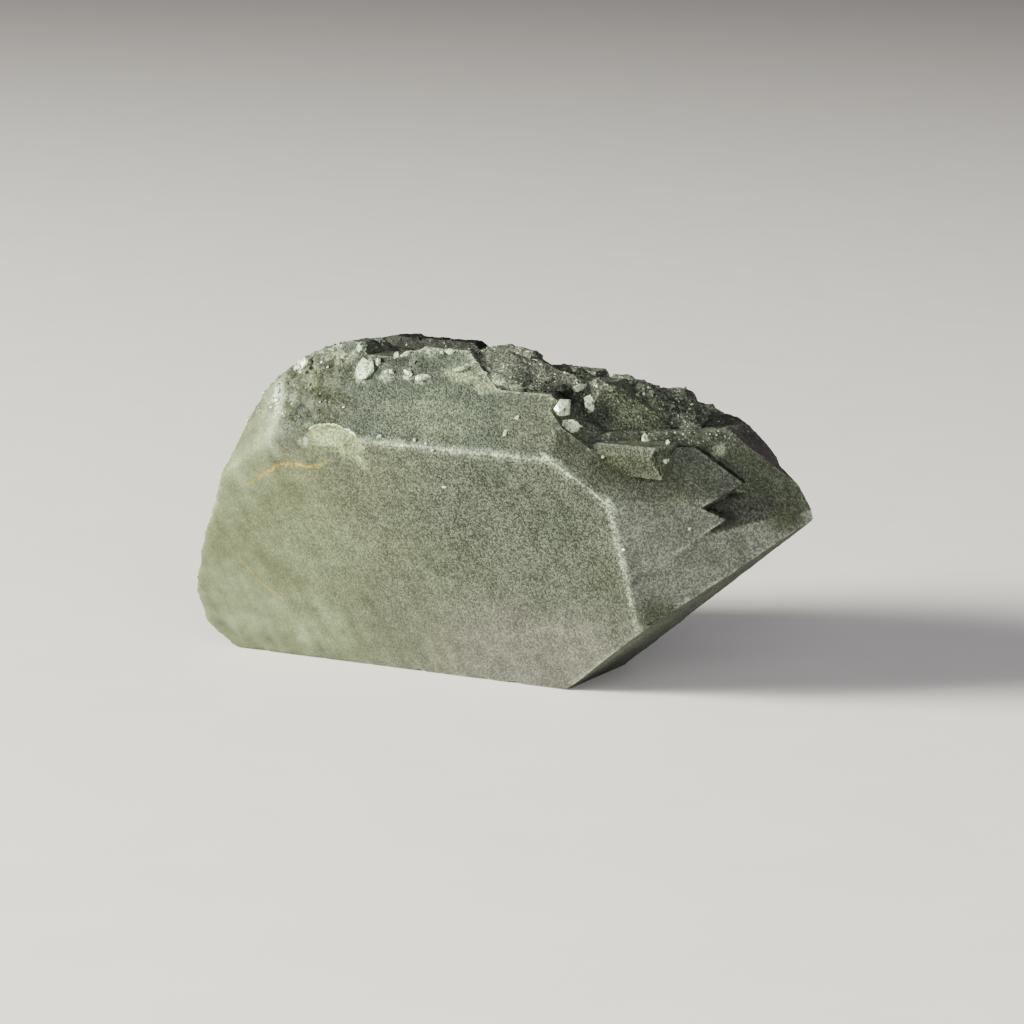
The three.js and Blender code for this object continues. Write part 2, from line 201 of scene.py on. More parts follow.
def point_normal(turns):
    """The way the point's face over that prism face looks."""
    return prism_normal(turns) * math.cos(POINT_LEAN) + Vector((math.sin(POINT_LEAN), 0, 0))


FACE_NORMALS = [prism_normal(i) for i in range(6)] + [point_normal(i) for i in range(6)]

# The worn edges at the front: the two faces that meet in each, how far each is from the corner, and the wear.
WORN_PAIRS = (
    ((prism_normal(0), 0), (prism_normal(1), BROW_DISTANCE), 0.6),
    ((prism_normal(0), 0), (point_normal(1), COVERED_POINT), 0.65),
    ((prism_normal(0), 0), (point_normal(0), FRONT_POINT), 0.6),
    ((point_normal(0), FRONT_POINT), (point_normal(1), COVERED_POINT), 0.18),
)

# The outlines of the two arrow heads: each face direction that bounds one, and its distance.
ARROWS = (
    ((point_normal(2), 39.4), (point_normal(5), -8.1), (prism_normal(2), 34.7)),
    ((point_normal(2), 34.83), (point_normal(5), -5.45)),
)
GULLY_NORMAL = (0.6, -0.8, 0.0055)  # the sunken stone beside the arrow heads looks this way
GULLY_DISTANCE = 17.46
GULLY_DEPTH = 1.6
SCAR = ((-29.4, 33.6), (-27.2, 34.9), (-23.4, 34.75), (-21.0, 33.6), (-19.9, 31.6))  # its upper rim: x and z
SCAR_HEIGHT = 3  # millimetres from the rim down to where the scar fades out

GROWN = 0.985  # a vertex whose normal is this near to a grown face's direction lies on a grown face
SHARPEST_BEND = 0.05  # millimetres that a vertex on a fresh edge stands out of its neighbours
MOST_TRIANGLES = 190000  # in the crystal's finished mesh
SMOOTH_ANGLE = math.radians(38)  # faces that meet at a sharper angle keep a crisp edge
ROUGH_MASKS = ("free", "mounds", "far_root", "crowded", "pitted", "root", "bevel")
RELIEF_MASKS = (*ROUGH_MASKS, "sinking", "scar", "softened")
COLOUR_MASKS = ("crowded", "pitted", "bruised", "root", "worn", "gully")

# The relief, in the order it is carved: name, pattern and its size in millimetres, height in millimetres and
# as a share of the break relief, mask, and how often a cloud pattern is refined.
RELIEF = (
    ("swells", "CLOUDS", 6, 0.2, 0, "free", 1),
    ("gully", None, 0, -GULLY_DEPTH, 0, "sinking", 0),
    ("scar", None, 0, 0, -0.5, "scar", 0),
    ("mounds", "CLOUDS", 4.5, 1.5, 0, "mounds", 0),
    ("lumps", "CLOUDS", 1.8, 0, 1.2, "crowded", 3),
    ("crumbs", "VORONOI", 0.5, 0, -0.35, "crowded", 0),
    ("facets", "VORONOI", 2.2, 0, -2.2, "pitted", 0),
    ("granules", "CLOUDS", 0.9, 0, 1, "bevel", 2),
    ("root_granules", "CLOUDS", 1.1, 0, 0.8, "root", 2),
    ("pits", "CLOUDS", 1.4, 0, 1.6, "pitted", 2),
    ("root_lumps", "CLOUDS", 3.0, 0, 1.4, "root", 3),
    ("root_swells", "CLOUDS", 7, 2.4, 0, "far_root", 1),
    ("root_shells", "VORONOI", 4.5, -1.2, 0, "far_root", 0),
    ("frets", "CLOUDS", 0.6, 0, 0.25, "free", 2),
)
GRAIN_COUNT = 800  # small crystals on the rough top
PIT_GRAIN_COUNT = 110  # and in the pitted stone

# Soft-edged zones of the crystal. Each limit of a zone is a direction, how far along it the zone begins, and
# over how many millimetres it grows to full strength.
ZONES = {
    "top": (
        ((0, 0, 1), 34, 1.5),
        (-prism_normal(1), -BROW_DISTANCE, 0.5),
        (-point_normal(1), -COVERED_POINT, 0.6),
    ),
    "mound_side": (((1, 0, 0), -16, 3),),
    "resting": (((0, 0, -1), -0.5, 0.5),),
    "front": ((prism_normal(0), -1.5, 1), ((-1, 0, 0), 6 - POINT_REACH / MM, 6)),
    "on_point": (((1, 0, 0), 8, 2), ((0, 0, 1), 28, 2)),
    "pitted": ((prism_normal(1), BROW_DISTANCE - 0.8, 0.8), ((-1, 0, 0), 22, 4), ((0, 0, 1), 34, 2)),
    "bevel": (((-1, 0, 0), 33, 1.5), ((0, -1, 0), 12, 2), ((0, 0, 1), 20, 3)),
    "back": (((0, 1, 0), -2, 6),),
    "rear": (((-1, 0, 0), 30, 4), ((0, 1, 0), -12, 4)),
    "root": (((-1, 0, -0.35), 34, 3), ((0, 1, 0), -13, 3)),
    "far_root": (((-1, 0, -0.35), 33, 3), ((0, 1, 0), -6, 6), ((0, 0, 1), 0.8, 3)),
    "break": (((-1, 0, 0), 30, 4), ((0, 1, 0), 0, 4), ((0, 0, 1), 0.8, 3)),
    "left_front": (((-1, 0, 0), 32, 2), ((0, 0, 1), 8, 4), ((0, -1, 0), 6, 3)),
    "blunt_root": (((-1, 0, -0.35), 34, 3), ((0, 0, 1), 1.5, 2)),
}

# Soft patches in the stone, some of them painted shade and painted light: centre and reach in millimetres
# from the corner, colour and strength.
PATCHES = (
    ((-3, -4, 4), (24, 10, 10), "blush", 0.5),
    ((-12, -11, 19), (7, 6, 8), "olive", 0.25),
    ((5, -15, 25), (6, 6, 6), "slate", 0.4),
    ((-2, -18, 31), (7, 4, 4), "slate", 0.35),
    ((10.3, -10, 17), (2.5, 4, 6), "olive", 0.5),
    ((15, -5.5, 12.5), (3.4, 5, 2.6), "olive", 0.8),
    ((30, 0.5, 25.4), (3, 3, 2.2), "olive", 0.95),
    # Partly painted light: the veils low on the left of the front stand for light bounced from the floor, and
    # those next to the bevel soften the edge of its bright light.
    ((-32, -10, 17), (9, 6, 9), "veil_and_light", 0.3),
    ((-47, -5, 9), (7, 6, 7), "veil_and_light", 0.4),
    ((-43, -13, 23), (5, 6, 5), "veil_and_light", 0.3),
    ((-39, -16, 27.5), (4, 5, 4), "veil_and_light", 0.7),
    ((-35.6, -17, 35), (3.4, 4, 6.5), "veil_and_light", 0.65),
    ((-34.2, -17, 34), (1.6, 3, 4), "frost_and_glint", 0.25),
    ((-34.6, -16.2, 37.6), (0.9, 2, 2.2), "frost_and_glint", 0.6),
    ((-34.9, -16.2, 36.2), (0.9, 2, 0.9), "olive", 0.8),
    ((-31.5, -18.5, 33), (2.8, 3, 3), "grey", 0.8),
    ((-29.2, -18.8, 32.4), (0.8, 2, 0.8), "frost_and_glint", 0.4),
    ((-30.7, -15.6, 39.8), (2.4, 3, 1.8), "veil_and_light", 0.4),
    ((-32, -14.6, 41.8), (1.0, 1.5, 1.0), "frost_and_glint", 0.95),
    ((-29, -15.5, 41.5), (5, 4, 2.5), "olive", 0.8),
    ((-27.5, -16, 38.5), (3.2, 4, 2.6), "olive", 0.75),
    ((-24.5, -16.6, 37), (3.0, 4, 2.4), "olive", 0.6),
    ((-29.6, -15.5, 40.6), (0.7, 2, 1.9), "veil_and_light", 0.7),
    ((-31.6, -16.5, 37.6), (0.9, 2, 1.3), "veil_and_light", 0.6),
    ((-26.5, -15, 43), (2, 3, 1), "veil_and_light", 0.7),
    ((-12, -17.4, 37), (8, 3, 4), "veil_and_light", 0.2),
    ((-9, -14.2, 42.3), (3, 2, 0.9), "veil_and_light", 0.8),
    ((-5.5, -14.8, 41.2), (1.6, 2, 1.0), "veil_and_light", 0.8),
    ((3.5, -16.5, 37.5), (8, 5, 5), "olive", 0.7),
    ((17, -10, 30), (5.5, 5, 3.5), "olive", 0.45),
    ((22, -4.2, 34.4), (1.0, 2, 1.3), "frost_and_glint", 0.5),
    ((11.5, -7.5, 39), (5, 5, 4), "sage", 0.45),
    ((-5, -12, 43.7), (6, 3, 2), "grey", 0.7),
    # Partly painted light bounced from the floor, low on the left of the front.
    ((-40, -4, 5), (14, 6, 6), "veil_and_light", 0.45),
    ((14.5, -14.5, 33.2), (6, 4, 3.4), "olive", 0.95),
    # Painted shade and reflection: the back ridge of the top, nearly black.
    ((-21, 3, 44), (18, 7, 6), "chlorite_and_shade", 1.0),
    ((-19, -13.4, 43.3), (4.5, 2, 0.9), "chlorite_and_shade", 0.7),
    ((-17.6, -14.2, 42.0), (2.6, 1.5, 0.5), "chlorite_and_shade", 0.6),
    ((-20.8, -14.4, 42.6), (0.7, 1.5, 1.6), "chlorite_and_shade", 0.6),
    ((-14.5, -14.2, 42.7), (1.8, 1.2, 0.6), "chlorite_and_shade", 0.5),
    # Painted shade and reflection in the trough behind the brow's top and above the small broken prism.
    ((4.5, -12.2, 40.9), (5.5, 2.4, 1.6), "chlorite_and_shade", 0.9),
    ((8.5, -10.5, 38.5), (2.0, 2.0, 2.0), "chlorite_and_shade", 0.6),
    ((8.2, -12, 35.9), (1, 1, 1), "chlorite_and_shade", 0.9),
)

# How each grown face looks: its direction and distance, its cast, the strength of the cast, and its grain.
FACE_CASTS = (
    (prism_normal(1), BROW_DISTANCE, "slate", 0.95, 0.65),
    (prism_normal(2), 44.0, "slate", 0.6, 0.6),
    (point_normal(0), FRONT_POINT, "ash", 0.7, 0.5),
    (point_normal(1), COVERED_POINT - 1.0, "olive", 0.75, 0.5),
    (point_normal(1), COVERED_POINT, "ash", 0.3, 0.5),
    # Painted shade and reflection on the face at the top of the point.
    (point_normal(2), 42.2, "umber_reflection", 0.9, 0.4),
)

# Lines on the front: points along each as x and z, the x where it fades out at either end, its colour and
# strength, and how far it reaches above and below. Two are healed cracks. The last three are the scar: its
# fold, its body and its rim.
UPPER_CRACK = ((-40.7, 25.0), (-38.0, 26.4), (-35.5, 27.8), (-34.0, 28.8), (-27.9, 29.4), (-26.0, 30.6))
LOWER_CRACK = ((-45.5, 16.0), (-44.0, 13.5), (-42.0, 10.75), (-39.1, 8.85))
SCAR_FOLD = ((-29.4, 33.0), (-26.0, 33.4), (-23.0, 32.0), (-20.5, 30.4))
LINES = (
    (UPPER_CRACK, -40.5, -26.2, "rust", 0.8, 0.32, 0.4),
    (LOWER_CRACK, -45.3, -39.3, "rust", 0.5, 0.32, 0.4),
    (SCAR_FOLD, -28.0, -20.2, "straw", 0.8, 0.6, 1.6),
    (SCAR, -29.2, -20.0, "straw", 0.7, 0.1, 4.2),
    # The rim is partly frosted and partly a painted highlight along the scar's glassy upper edge.
    (SCAR, -29.2, -19.9, "frost_and_glint", 0.8, 0.08, 0.25),
)
HIGHEST_LINE = 40.0  # millimetres; the curves that hold the lines run from 0 to 1


# ---- masks on the mesh ----


def vertex_arrays(mesh):
    """Places in millimetres from the corner, normals, and edges, as arrays."""
    places = np.empty(len(mesh.vertices) * 3)
    mesh.vertices.foreach_get("co", places)
    normals = np.empty(len(mesh.vertices) * 3)
    mesh.vertex_normals.foreach_get("vector", normals)
    edges = np.empty(len(mesh.edges) * 2, dtype=np.int64)
    mesh.edges.foreach_get("vertices", edges)
    places = (places.reshape(-1, 3) - np.array(CORNER)) / MM
    return places, normals.reshape(-1, 3), edges.reshape(-1, 2)


def spread(values, edges, rounds):
    """Averages each vertex's value with its neighbours', a few times over."""
    count = np.maximum(np.bincount(edges.ravel(), minlength=len(values)), 1)
    for _ in range(rounds):
        total = np.bincount(edges[:, 0], values[edges[:, 1]], len(values))
        total += np.bincount(edges[:, 1], values[edges[:, 0]], len(values))
        values = 0.5 * values + 0.5 * total / count
    return values


def curvature(places, normals, edges):
    """How far each vertex stands out of its neighbours, along its normal. In a hollow it is less than 0."""
    count = np.maximum(np.bincount(edges.ravel(), minlength=len(places)), 1)
    around = np.zeros_like(places)
    for axis in range(3):
        around[:, axis] += np.bincount(edges[:, 0], places[edges[:, 1], axis], len(places))
        around[:, axis] += np.bincount(edges[:, 1], places[edges[:, 0], axis], len(places))
    return np.einsum("ij,ij->i", places - around / count[:, None], normals)


def store(mesh, name, values):
    """Keeps a mask on the mesh, for the material."""
    layer = mesh.attributes.get(name) or mesh.attributes.new(name, "FLOAT", "POINT")
    layer.data.foreach_set("value", np.clip(values, 0, 1).astype(np.float32))


def group(piece, name, values):
    """Keeps a mask as a vertex group, for a modifier."""
    layer = piece.vertex_groups.new(name=name)
    steps = 20
    for step in range(1, steps + 1):
        members = np.nonzero(np.round(np.clip(values, 0, 1) * steps) == step)[0]
        layer.add(members.tolist(), step / steps, "REPLACE")


def zone(places, limits):
    """How far each place is inside a soft-edged zone: 1 well inside and 0 outside."""
    inside = np.ones(len(places))
    for direction, start, width in limits:
        inside *= np.clip((places @ np.array(direction) - start) / width, 0, 1)
    return inside


def beside_worn_edges(places):
    """Which vertices are on the narrow worn bands where the front faces meet."""
    beside = np.zeros(len(places), dtype=bool)
    for (a, a_distance), (b, b_distance), _ in WORN_PAIRS:
        in_a, in_b = places @ np.array(a) - a_distance, places @ np.array(b) - b_distance
        beside |= (np.abs(in_a - in_b) < 2.2) & (in_a + in_b > -3)
    return beside


def gully_masks(places, on_lower, on_upper):
    """The gully beside the arrow heads, with their walls, darkened by a painted shadow, and how far each part
    of it is sunk.
    """
    x, _, z = places.T
    uncovered = on_lower | (on_upper & (places @ np.array(point_normal(1)) < COVERED_POINT - 0.45))
    beyond = [np.max([places @ np.array(n) - d for n, d in arrow], axis=0) for arrow in ARROWS]
    outside = np.min(beyond, axis=0)
    sunk = places @ np.array(GULLY_NORMAL) - GULLY_DISTANCE
    by_arrows = (x > 12) & (z > 22)
    gully = uncovered * (outside > 0.05) * by_arrows * np.clip(sunk / 0.15, 0, 1)
    # The walls under the arrow heads' edges get the painted shadow too.
    wall = (np.abs(outside) < 0.35) & by_arrows & (z < 35) & ~on_lower & ~on_upper
    sinking = gully * np.clip(np.maximum(sunk, 0.7 - 0.5 * outside) / GULLY_DEPTH, 0, 1)
    return np.maximum(gully * np.clip(1.1 - outside / 3, 0.65, 1), wall), sinking


def scar_mask(places):
    """The shallow scar under the brow, deepest along its upper rim."""
    x, _, z = places.T
    rim = np.interp(x, *np.array(SCAR).T)
    scar = np.clip(1 - (rim - z) / SCAR_HEIGHT, 0, 1) * (z < rim) * (x > SCAR[0][0]) * (x < SCAR[-1][0])
    return scar * (places @ np.array(prism_normal(0)) > -1.5)


def masks(mesh):
    """Where the surface is grown or broken, rough with small crystals, worn or hollow."""
    places, normals, edges = vertex_arrays(mesh)
    within = {name: zone(places, limits) for name, limits in ZONES.items()}
    aligned = np.max(normals @ np.array(FACE_NORMALS).T, axis=1)
    off_face = ((aligned < GROWN) & ~beside_worn_edges(places)).astype(float)
    on_lower, on_upper = (normals @ np.array(point_normal(i)) > 0.9 for i in (0, 1))
    gully, sinking = gully_masks(places, on_lower, on_upper)
    bend = curvature(places, normals, edges) / SHARPEST_BEND
    behind_brow = BROW_DISTANCE - places @ np.array(prism_normal(1)) > 0.6
    towards_root = np.clip((-0.1 - normals[:, 0]) / 0.3, 0, 1)
    bevel = off_face * within["bevel"]
    resting_edge = (places[:, 2] < 1) & (places @ np.array(prism_normal(0)) > -1)
    bruised = off_face * (1 - within["top"]) * (1 - within["root"]) * (1 - bevel)
    bruised *= (1 - 0.9 * within["on_point"]) * (1 - 0.8 * within["back"]) * (1 - 0.85 * within["rear"])
    worn = np.clip(bend, 0, 1) * (0.08 + 0.15 * within["front"]) * (1 - on_lower)
    far_root = np.maximum(within["far_root"], off_face * towards_root * within["break"])
    return {
        "free": 1 - within["resting"],
        "mounds": spread(off_face * within["top"], edges, 3) * within["mound_side"],
        "crowded": spread(np.maximum(off_face, 0.6 * behind_brow) * within["top"], edges, 3),
        "pitted": spread(within["pitted"], edges, 2),
        "bevel": spread(bevel, edges, 2),
        "bruised": spread(bruised, edges, 2),
        "worn": spread(worn, edges, 1),
        "hollow": spread(np.clip(-bend, 0, 1), edges, 4),
        "gully": gully,
        "sinking": sinking,
        "scar": scar_mask(places),
        "root": spread(off_face * within["root"], edges, 4) * (1 - within["resting"]),
        "far_root": spread(far_root, edges, 4),
        "softened": np.max((within["left_front"], 0.3 * resting_edge, 0.6 * within["blunt_root"]), axis=0),
    }


# ---- the crystal's relief ----


def displace(piece, name, pattern, size, height, mask, depth):
    """Carves a relief into a piece's mesh. Without a pattern, all of the mask sinks or rises alike."""
    modifier = piece.modifiers.new(name, "DISPLACE")
    modifier.mid_level = 0
    if pattern:
        modifier.mid_level = 0.5
        modifier.texture_coords = "LOCAL"
        modifier.texture = bpy.data.textures.new(name, pattern)
        modifier.texture.noise_scale = size
        if pattern == "CLOUDS":
            modifier.texture.noise_depth = depth
    modifier.strength = height
    modifier.vertex_group = mask
    bpy.ops.object.modifier_apply(modifier=name)


def smooth(piece, name, rounds, mask):
    """Rounds off a piece's mesh inside a mask."""
    modifier = piece.modifiers.new(name, "SMOOTH")
    modifier.iterations = rounds
    modifier.vertex_group = mask
    bpy.ops.object.modifier_apply(modifier=name)


def cut_into_cells(crystal, width):
    """Merges the loose triangles and gives the crystal an even mesh, with its edges kept sharp."""
    bpy.ops.object.mode_set(mode="EDIT")
    bpy.ops.mesh.select_all(action="SELECT")
    bpy.ops.mesh.remove_doubles(threshold=0.001 * MM)
    bpy.ops.object.mode_set(mode="OBJECT")
    remesh = crystal.modifiers.new("cells", "REMESH")
    remesh.mode = "SHARP"
    remesh.octree_depth = 9
    # The scale that makes one cell of the modifier's grid as wide as asked.
    remesh.scale = (HIGH.x - LOW.x) / (2**remesh.octree_depth * width)
    bpy.ops.object.modifier_apply(modifier="cells")


def thin(crystal, most):
    """Merges the smallest faces until few enough triangles are left."""
    triangles = sum(len(face.vertices) - 2 for face in crystal.data.polygons)
    modifier = crystal.modifiers.new("thinning", "DECIMATE")
    modifier.ratio = min(1, most / triangles)
    bpy.ops.object.modifier_apply(modifier="thinning")


class CRYSTAL_OT_crystal(bpy.types.Operator):
    """Makes the crystal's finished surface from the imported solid"""

    bl_idname = "crystal.crystal"
    bl_label = "Crystal"

    def execute(self, context):
        sizes = context.scene.crystal_sizes
        only(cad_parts[NODE])
        bpy.ops.object.duplicate()
        crystal = context.active_object
        crystal.name = "quartz_crystal"
        cut_into_cells(crystal, sizes.cell)
        found = masks(crystal.data)
        for name in RELIEF_MASKS:
            group(crystal, name + "_relief", found[name])
        smooth(crystal, "softening", 40, "softened_relief")
        smooth(crystal, "root_softening", 120, "far_root_relief")
        for name in COLOUR_MASKS:
            store(crystal.data, name, found[name])

        for name, pattern, size, height, share, mask, depth in RELIEF:
            height = height * MM + share * sizes.break_relief
            displace(crystal, name, pattern, size * MM, height, mask + "_relief", depth)
        crystal.vertex_groups.clear()
        thin(crystal, MOST_TRIANGLES)
        # The hollows are those of the finished relief.
        store(crystal.data, "hollow", masks(crystal.data)["hollow"])
        only(crystal)
        bpy.ops.object.shade_smooth_by_angle(angle=SMOOTH_ANGLE)
        crystal.data.materials.clear()
        crystal.data.materials.append(natural_quartz(context.scene.crystal_colours, sizes))
        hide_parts(NODE)
        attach(crystal, "root")
        return {"FINISHED"}


def set_copies(model, spots):
    """Copies a small piece to each spot, joins the copies into one, and takes the model away."""
    bpy.ops.object.select_all(action="DESELECT")
    for spot in spots:
        copy = model.copy()
        copy.data = model.data.copy()
        copy.matrix_world = spot
        bpy.context.collection.objects.link(copy)
        copy.select_set(True)
        bpy.context.view_layer.objects.active = copy
    bpy.data.objects.remove(model)
    bpy.ops.object.join()
    bpy.ops.object.transform_apply()
    return bpy.context.active_object


def spot_on(crystal, place, stretch, turn, tilt, sunk):
    """Where a small piece lies: on the crystal near a place, turned about the surface's normal and tilted."""
    _, touch, normal, _ = crystal.closest_point_on_mesh(place)
    upright = normal.to_track_quat("Z", "Y").to_matrix().to_4x4()
    turned = Matrix.Rotation(math.radians(turn), 4, "Z") @ Matrix.Rotation(math.radians(tilt), 4, "Y")
    centre = Matrix.Translation(touch - normal * sunk)
    return centre @ upright @ turned @ Matrix.Diagonal((*stretch, 1))


def chip_model(sides, seed):
    """An angular chip of quartz a millimetre across, with uneven flat facets."""
    bpy.ops.object.select_all(action="DESELECT")
    bpy.ops.mesh.primitive_cylinder_add(vertices=sides, radius=0.5 * MM, depth=0.8 * MM)
    chip = bpy.context.active_object
    bpy.ops.object.mode_set(mode="EDIT")
    bpy.ops.mesh.select_all(action="DESELECT")
    bpy.ops.mesh.select_mode(type="FACE")
    mesh = bmesh.from_edit_mesh(chip.data)
    for face in mesh.faces:
        face.select = face.normal.z > 0.9
    bmesh.update_edit_mesh(chip.data)
    bpy.ops.mesh.inset(thickness=0.2 * MM)
    bpy.ops.transform.translate(value=(0.1 * MM, 0.04 * MM, 0.22 * MM))
    bpy.ops.mesh.select_all(action="SELECT")
    bpy.ops.transform.vertex_random(offset=0.19 * MM, uniform=0.3, seed=seed)
    bpy.ops.mesh.quads_convert_to_tris()
    bpy.ops.mesh.normals_make_consistent(inside=False)
    bpy.ops.object.mode_set(mode="OBJECT")
    return chip


# Chips that lie on the crystal, in millimetres: place from the corner, length, width, thickness and turn.
CHIPS = (
    ((5.0, -14.3, 39.2), 2.9, 2.5, 1.2, 90),
    ((6.5, -14.6, 37.2), 2.7, 1.7, 0.7, -15),
    ((7.15, -10.81, 39.52), 2.4, 1.3, 1.0, 95),
    ((6.2, -10.0, 41.6), 4.0, 1.1, 0.6, 5),
    ((-22.54, -14.5, 41.88), 3.2, 2.6, 0.4, 100),
    ((-23.8, -12.8, 44.8), 1.8, 1.2, 0.9, 20),
    ((-31.5, -14.5, 42.0), 2.2, 1.7, 0.9, 60),
    ((-34.6, -15.6, 38.6), 1.6, 0.7, 0.5, 110),
    ((-34.2, -15.9, 37.4), 1.5, 0.6, 0.5, 70),
    ((-33.6, -16.4, 36.0), 1.2, 0.5, 0.5, 60),
    ((-37.6, -14.0, 37.4), 1.0, 0.7, 0.7, 120),
    ((-39.4, -14.0, 33.6), 1.1, 0.6, 0.7, 100),
    ((-1.0, -17.8, 36.1), 1.2, 0.6, 0.5, 80),
    ((0.1, -16.8, 38.0), 0.9, 0.5, 0.5, 20),
    ((18.5, -12.7, 33.8), 1.0, 0.7, 0.6, 20),
    ((-19.24, -14.49, 41.9), 1.9, 0.7, 0.8, 10),
    ((-16.41, -14.43, 42.01), 1.6, 0.9, 0.8, 150),
    ((-14.23, -14.75, 41.46), 2.2, 0.8, 0.8, 15),
    ((-18.9, -13.29, 43.97), 0.8, 0.7, 1.0, 0),
    ((-17.5, -13.23, 44.08), 1.7, 0.6, 0.8, 30),
    ((-21.0, -14.0, 43.0), 1.0, 0.6, 0.9, 70),
    ((-12.57, -12.87, 44.7), 0.8, 0.5, 0.9, 0),
    ((-11.5, -12.76, 44.9), 1.5, 0.8, 0.7, 0),
    ((-32.1, -14.6, 41.7), 2.0, 1.8, 0.8, 20),
    ((14.6, -9.4, 35.9), 1.4, 1.0, 1.3, 40),
    ((17.8, -10.2, 35.4), 0.7, 0.5, 0.8, 90),
    ((-10.46, -19.24, 33.32), 0.6, 0.5, 0.6, 0),
    ((-11.39, -19.66, 34.06), 0.6, 0.5, 0.6, 50),
    ((-18.1, -20.16, 34.91), 0.8, 0.5, 0.6, 10),
    ((-13.07, -19.0, 34.3), 0.5, 0.4, 0.6, 70),
    ((-10.16, -16.29, 28.22), 0.9, 0.4, 0.4, 15),
    ((13.15, -12.23, 22.03), 0.5, 0.4, 0.5, 0),
    ((19.9, -7.62, 24.68), 0.6, 0.4, 0.5, 30),
    ((10.99, -14.31, 34.02), 0.5, 0.4, 0.6, 0),
)


class CRYSTAL_OT_chips(bpy.types.Operator):
    """Lays the pale chips of quartz on the top and the front"""

    bl_idname = "crystal.chips"
    bl_label = "Chips"

    def execute(self, context):
        crystal = bpy.data.objects["quartz_crystal"]
        kinds = []
        for kind in range(3):
            spots = []
            for place, length, width, thick, turn in CHIPS[kind::3]:
                where = CORNER + Vector(place) * MM
                stretch = (length, width, thick)
                spots.append(spot_on(crystal, where, stretch, turn, tilt=4, sunk=0.12 * thick * MM))
            sides = 5 + kind
            kinds.append(set_copies(chip_model(sides, sides), spots))
        only(kinds[0])
        for kind in kinds:
            kind.select_set(True)
        bpy.ops.object.join()
        chips = context.active_object
        chips.name = "quartz_chips"
        chips.data.materials.clear()
        chips.data.materials.append(glassy_quartz(context.scene.crystal_colours))
        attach(chips, "root")
        return {"FINISHED"}


class CRYSTAL_OT_grains(bpy.types.Operator):
    """Scatters small sparkling crystals over the rough top"""

    bl_idname = "crystal.grains"
    bl_label = "Grains"

    def execute(self, context):
        crystal = bpy.data.objects["quartz_crystal"]
        rough = np.empty(len(crystal.data.vertices), dtype=np.float32)
        crystal.data.attributes["crowded"].data.foreach_get("value", rough)
        pitted = np.empty_like(rough)
        crystal.data.attributes["pitted"].data.foreach_get("value", pitted)
        chance = np.random.RandomState(11)
        chosen = list(chance.choice(np.nonzero(rough > 0.55)[0], GRAIN_COUNT, replace=False))
        chosen += list(chance.choice(np.nonzero(pitted > 0.5)[0], PIT_GRAIN_COUNT, replace=False))
        spots = []
        for index in chosen:
            width = chance.uniform(0.18, 0.4)
            stretch = (width * chance.uniform(1, 2.2), width, width * chance.uniform(0.6, 1.2))
            turn, tilt = chance.uniform(0, 360), chance.uniform(-30, 30)
            where = crystal.data.vertices[index].co
            spots.append(spot_on(crystal, where, stretch, turn, tilt, sunk=0.05 * MM))
        bpy.ops.object.select_all(action="DESELECT")
        bpy.ops.mesh.primitive_cone_add(vertices=6, radius1=0.5 * MM, radius2=0.3 * MM, depth=0.6 * MM)
        model = context.active_object
        bpy.ops.object.mode_set(mode="EDIT")
        bpy.ops.mesh.select_all(action="SELECT")
        bpy.ops.transform.vertex_random(offset=0.08 * MM, uniform=0.5, seed=2)
        bpy.ops.object.mode_set(mode="OBJECT")
        grains = set_copies(model, spots)
        grains.name = "quartz_grains"
        grains.data.materials.clear()
        grains.data.materials.append(sparkling_quartz(context.scene.crystal_colours))
        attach(grains, "root")
        return {"FINISHED"}


# ---- materials ----

QUARTZ_IOR = 1.544

# How patterns lean, in degrees, and stretch: growth lines and grains, and the combed crystals of the top.
LEANS = {
    "lines": ((30, -15, 0), (1.0, 1.0, 9.0)),
    "grains": ((30, -15, 0), (0.95, 0.95, 1.25)),
    "combed": ((0, 25, -20), (4.0, 1.0, 1.0)),
}


